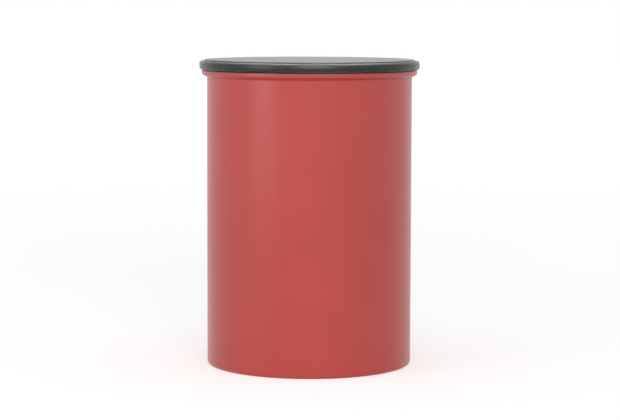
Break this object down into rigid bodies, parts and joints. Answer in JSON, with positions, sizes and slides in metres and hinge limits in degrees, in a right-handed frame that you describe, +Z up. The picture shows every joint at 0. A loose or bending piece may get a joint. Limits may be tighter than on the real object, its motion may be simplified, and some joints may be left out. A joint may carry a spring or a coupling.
{
  "type": "coffee canister with valve",
  "caption": "Round coated steel storage canister with a rolled rim, a smoke-clear outer lid and a press-down inner lid whose folding handle works an air valve.",
  "frame": {"origin": "centre of the base, on the surface it stands on", "axes": "+Z up, front towards -Y, the handle's axle along X"},
  "size_m": [0.1282, 0.1282, 0.178],
  "materials": {
    "coated_steel": "satin coloured coat outside, bare brushed steel inside and on the rim",
    "smoke_plastic": "smoke-tinted clear plastic, polished",
    "black_plastic": "fine moulded texture",
    "handle_plastic": "smooth black",
    "silicone": "matte silicone",
    "valve_silicone": "matte translucent silicone",
    "bright_steel": "bright hardware"
  },
  "bodies": {
    "canister": {"canister_body": "coated_steel"},
    "lid": {"outer_lid": "smoke_plastic"},
    "plunger": {"plunger_dish": "black_plastic", "wiper_gasket": "silicone", "base_plate": "black_plastic", "base_plate_screws": "bright_steel", "hub_cap": "black_plastic", "valve_spring": "bright_steel"},
    "handle": {"handle_bail": "handle_plastic", "handle_axle": "bright_steel", "valve_cam": "black_plastic"},
    "valve": {"valve_stem": "black_plastic", "valve_disc": "valve_silicone", "spring_clip": "bright_steel", "valve_button": "handle_plastic"}
  },
  "joints": [
    {"name": "lid_lift", "type": "slide", "parent": "canister", "child": "lid", "axis": [0, 0, 1], "range_m": [0, 0.1]},
    {"name": "plunger_press", "type": "slide", "parent": "canister", "child": "plunger", "axis": [0, 0, 1], "range_m": [-0.104, 0]},
    {"name": "handle_swing", "type": "hinge", "parent": "plunger", "child": "handle", "pos_m": [0, 0, 0.12975], "axis": [-1, 0, 0], "range_deg": [0, 90]},
    {"name": "valve_lift", "type": "slide", "parent": "plunger", "child": "valve", "axis": [0, 0, 1], "range_m": [0, 0.0022], "deforming": ["valve_spring"]}
  ],
  "couplings": [
    {"joint": "valve_lift", "follows": "handle_swing", "m_per_rad": 0.0014006}
  ]
}
